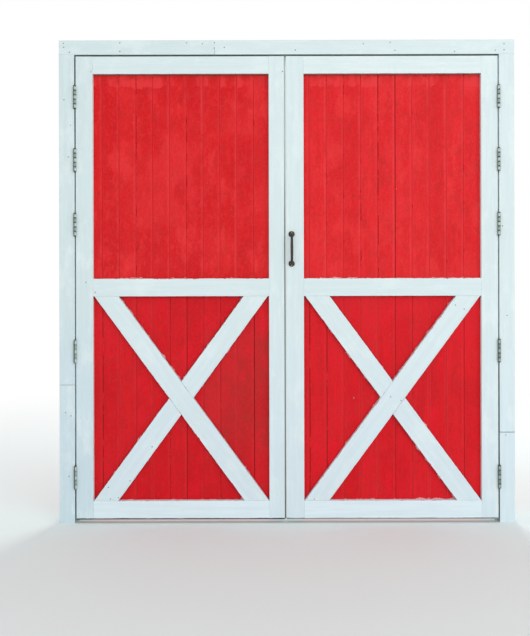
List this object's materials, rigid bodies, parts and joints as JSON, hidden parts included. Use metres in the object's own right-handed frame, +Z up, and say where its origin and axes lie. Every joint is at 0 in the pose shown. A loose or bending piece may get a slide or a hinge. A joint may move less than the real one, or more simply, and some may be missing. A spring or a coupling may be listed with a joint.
{
  "type": "double barn door with frame",
  "caption": "Outward opening double barn door in its timber frame: framed leaves with red upright boards, white rails, crossed lower braces, butt hinges and a pull handle.",
  "frame": {"origin": "on the floor, midway between the jambs, on the line where the leaves close against their stops", "axes": "+X to the right seen from outside, +Y to the inside, +Z up; at rest both leaves are closed and both bolts are drawn back"},
  "size_m": [2.05, 0.17, 2.172],
  "materials": {
    "casing_paint": "pale bluish white brushed paint",
    "leaf_paint": "pale bluish white brushed paint",
    "board_paint": "red brushed paint with streaks",
    "jamb_paint": "weathered white paint",
    "hinge_metal": "painted over, worn at the knuckles",
    "pin_metal": "dull dark steel",
    "handle_metal": "dark bronze brown, satin",
    "seal_rubber": "matt dark grey green",
    "bolt_metal": "zinc plated, dull"
  },
  "bodies": {
    "frame": {"left_casing_lower": "casing_paint", "left_casing_upper": "casing_paint", "right_casing_lower": "casing_paint", "right_casing_upper": "casing_paint", "head_casing_left": "casing_paint", "head_casing_right": "casing_paint", "left_jamb": "jamb_paint", "right_jamb": "jamb_paint", "head_jamb": "jamb_paint", "left_stop": "jamb_paint", "right_stop": "jamb_paint", "head_stop": "jamb_paint", "left_hinge_frame_plates": "hinge_metal", "right_hinge_frame_plates": "hinge_metal", "hinge_pins": "pin_metal"},
    "left_leaf": {"left_hinge_stile": "leaf_paint", "left_meeting_stile": "leaf_paint", "left_top_rail": "leaf_paint", "left_mid_rail": "leaf_paint", "left_bottom_rail": "leaf_paint", "left_long_brace": "leaf_paint", "left_short_brace_lower": "leaf_paint", "left_short_brace_upper": "leaf_paint", "left_board_01": "board_paint", "left_board_02": "board_paint", "left_board_03": "board_paint", "left_board_04": "board_paint", "left_board_05": "board_paint", "left_board_06": "board_paint", "left_board_07": "board_paint", "left_board_08": "board_paint", "left_board_09": "board_paint", "left_board_10": "board_paint", "left_board_11": "board_paint", "left_hinge_leaf_plates": "hinge_metal", "meeting_seal": "seal_rubber", "bolt_cases": "bolt_metal"},
    "right_leaf": {"right_hinge_stile": "leaf_paint", "right_meeting_stile": "leaf_paint", "right_top_rail": "leaf_paint", "right_mid_rail": "leaf_paint", "right_bottom_rail": "leaf_paint", "right_long_brace": "leaf_paint", "right_short_brace_lower": "leaf_paint", "right_short_brace_upper": "leaf_paint", "right_board_01": "board_paint", "right_board_02": "board_paint", "right_board_03": "board_paint", "right_board_04": "board_paint", "right_board_05": "board_paint", "right_board_06": "board_paint", "right_board_07": "board_paint", "right_board_08": "board_paint", "right_board_09": "board_paint", "right_board_10": "board_paint", "right_board_11": "board_paint", "right_hinge_leaf_plates": "hinge_metal", "pull_handle": "handle_metal"},
    "top_bolt": {"top_bolt": "bolt_metal"},
    "bottom_bolt": {"bottom_bolt": "bolt_metal"}
  },
  "joints": [
    {"name": "left_leaf_swing", "type": "hinge", "parent": "frame", "child": "left_leaf", "pos_m": [-0.953, -0.0468, 0], "axis": [0, 0, -1], "range_deg": [0, 175]},
    {"name": "right_leaf_swing", "type": "hinge", "parent": "frame", "child": "right_leaf", "pos_m": [0.953, -0.0468, 0], "axis": [0, 0, 1], "range_deg": [0, 175]},
    {"name": "top_bolt_slide", "type": "slide", "parent": "left_leaf", "child": "top_bolt", "axis": [0, 0, 1], "range_m": [0, 0.034]},
    {"name": "bottom_bolt_slide", "type": "slide", "parent": "left_leaf", "child": "bottom_bolt", "axis": [0, 0, -1], "range_m": [0, 0.034]}
  ]
}
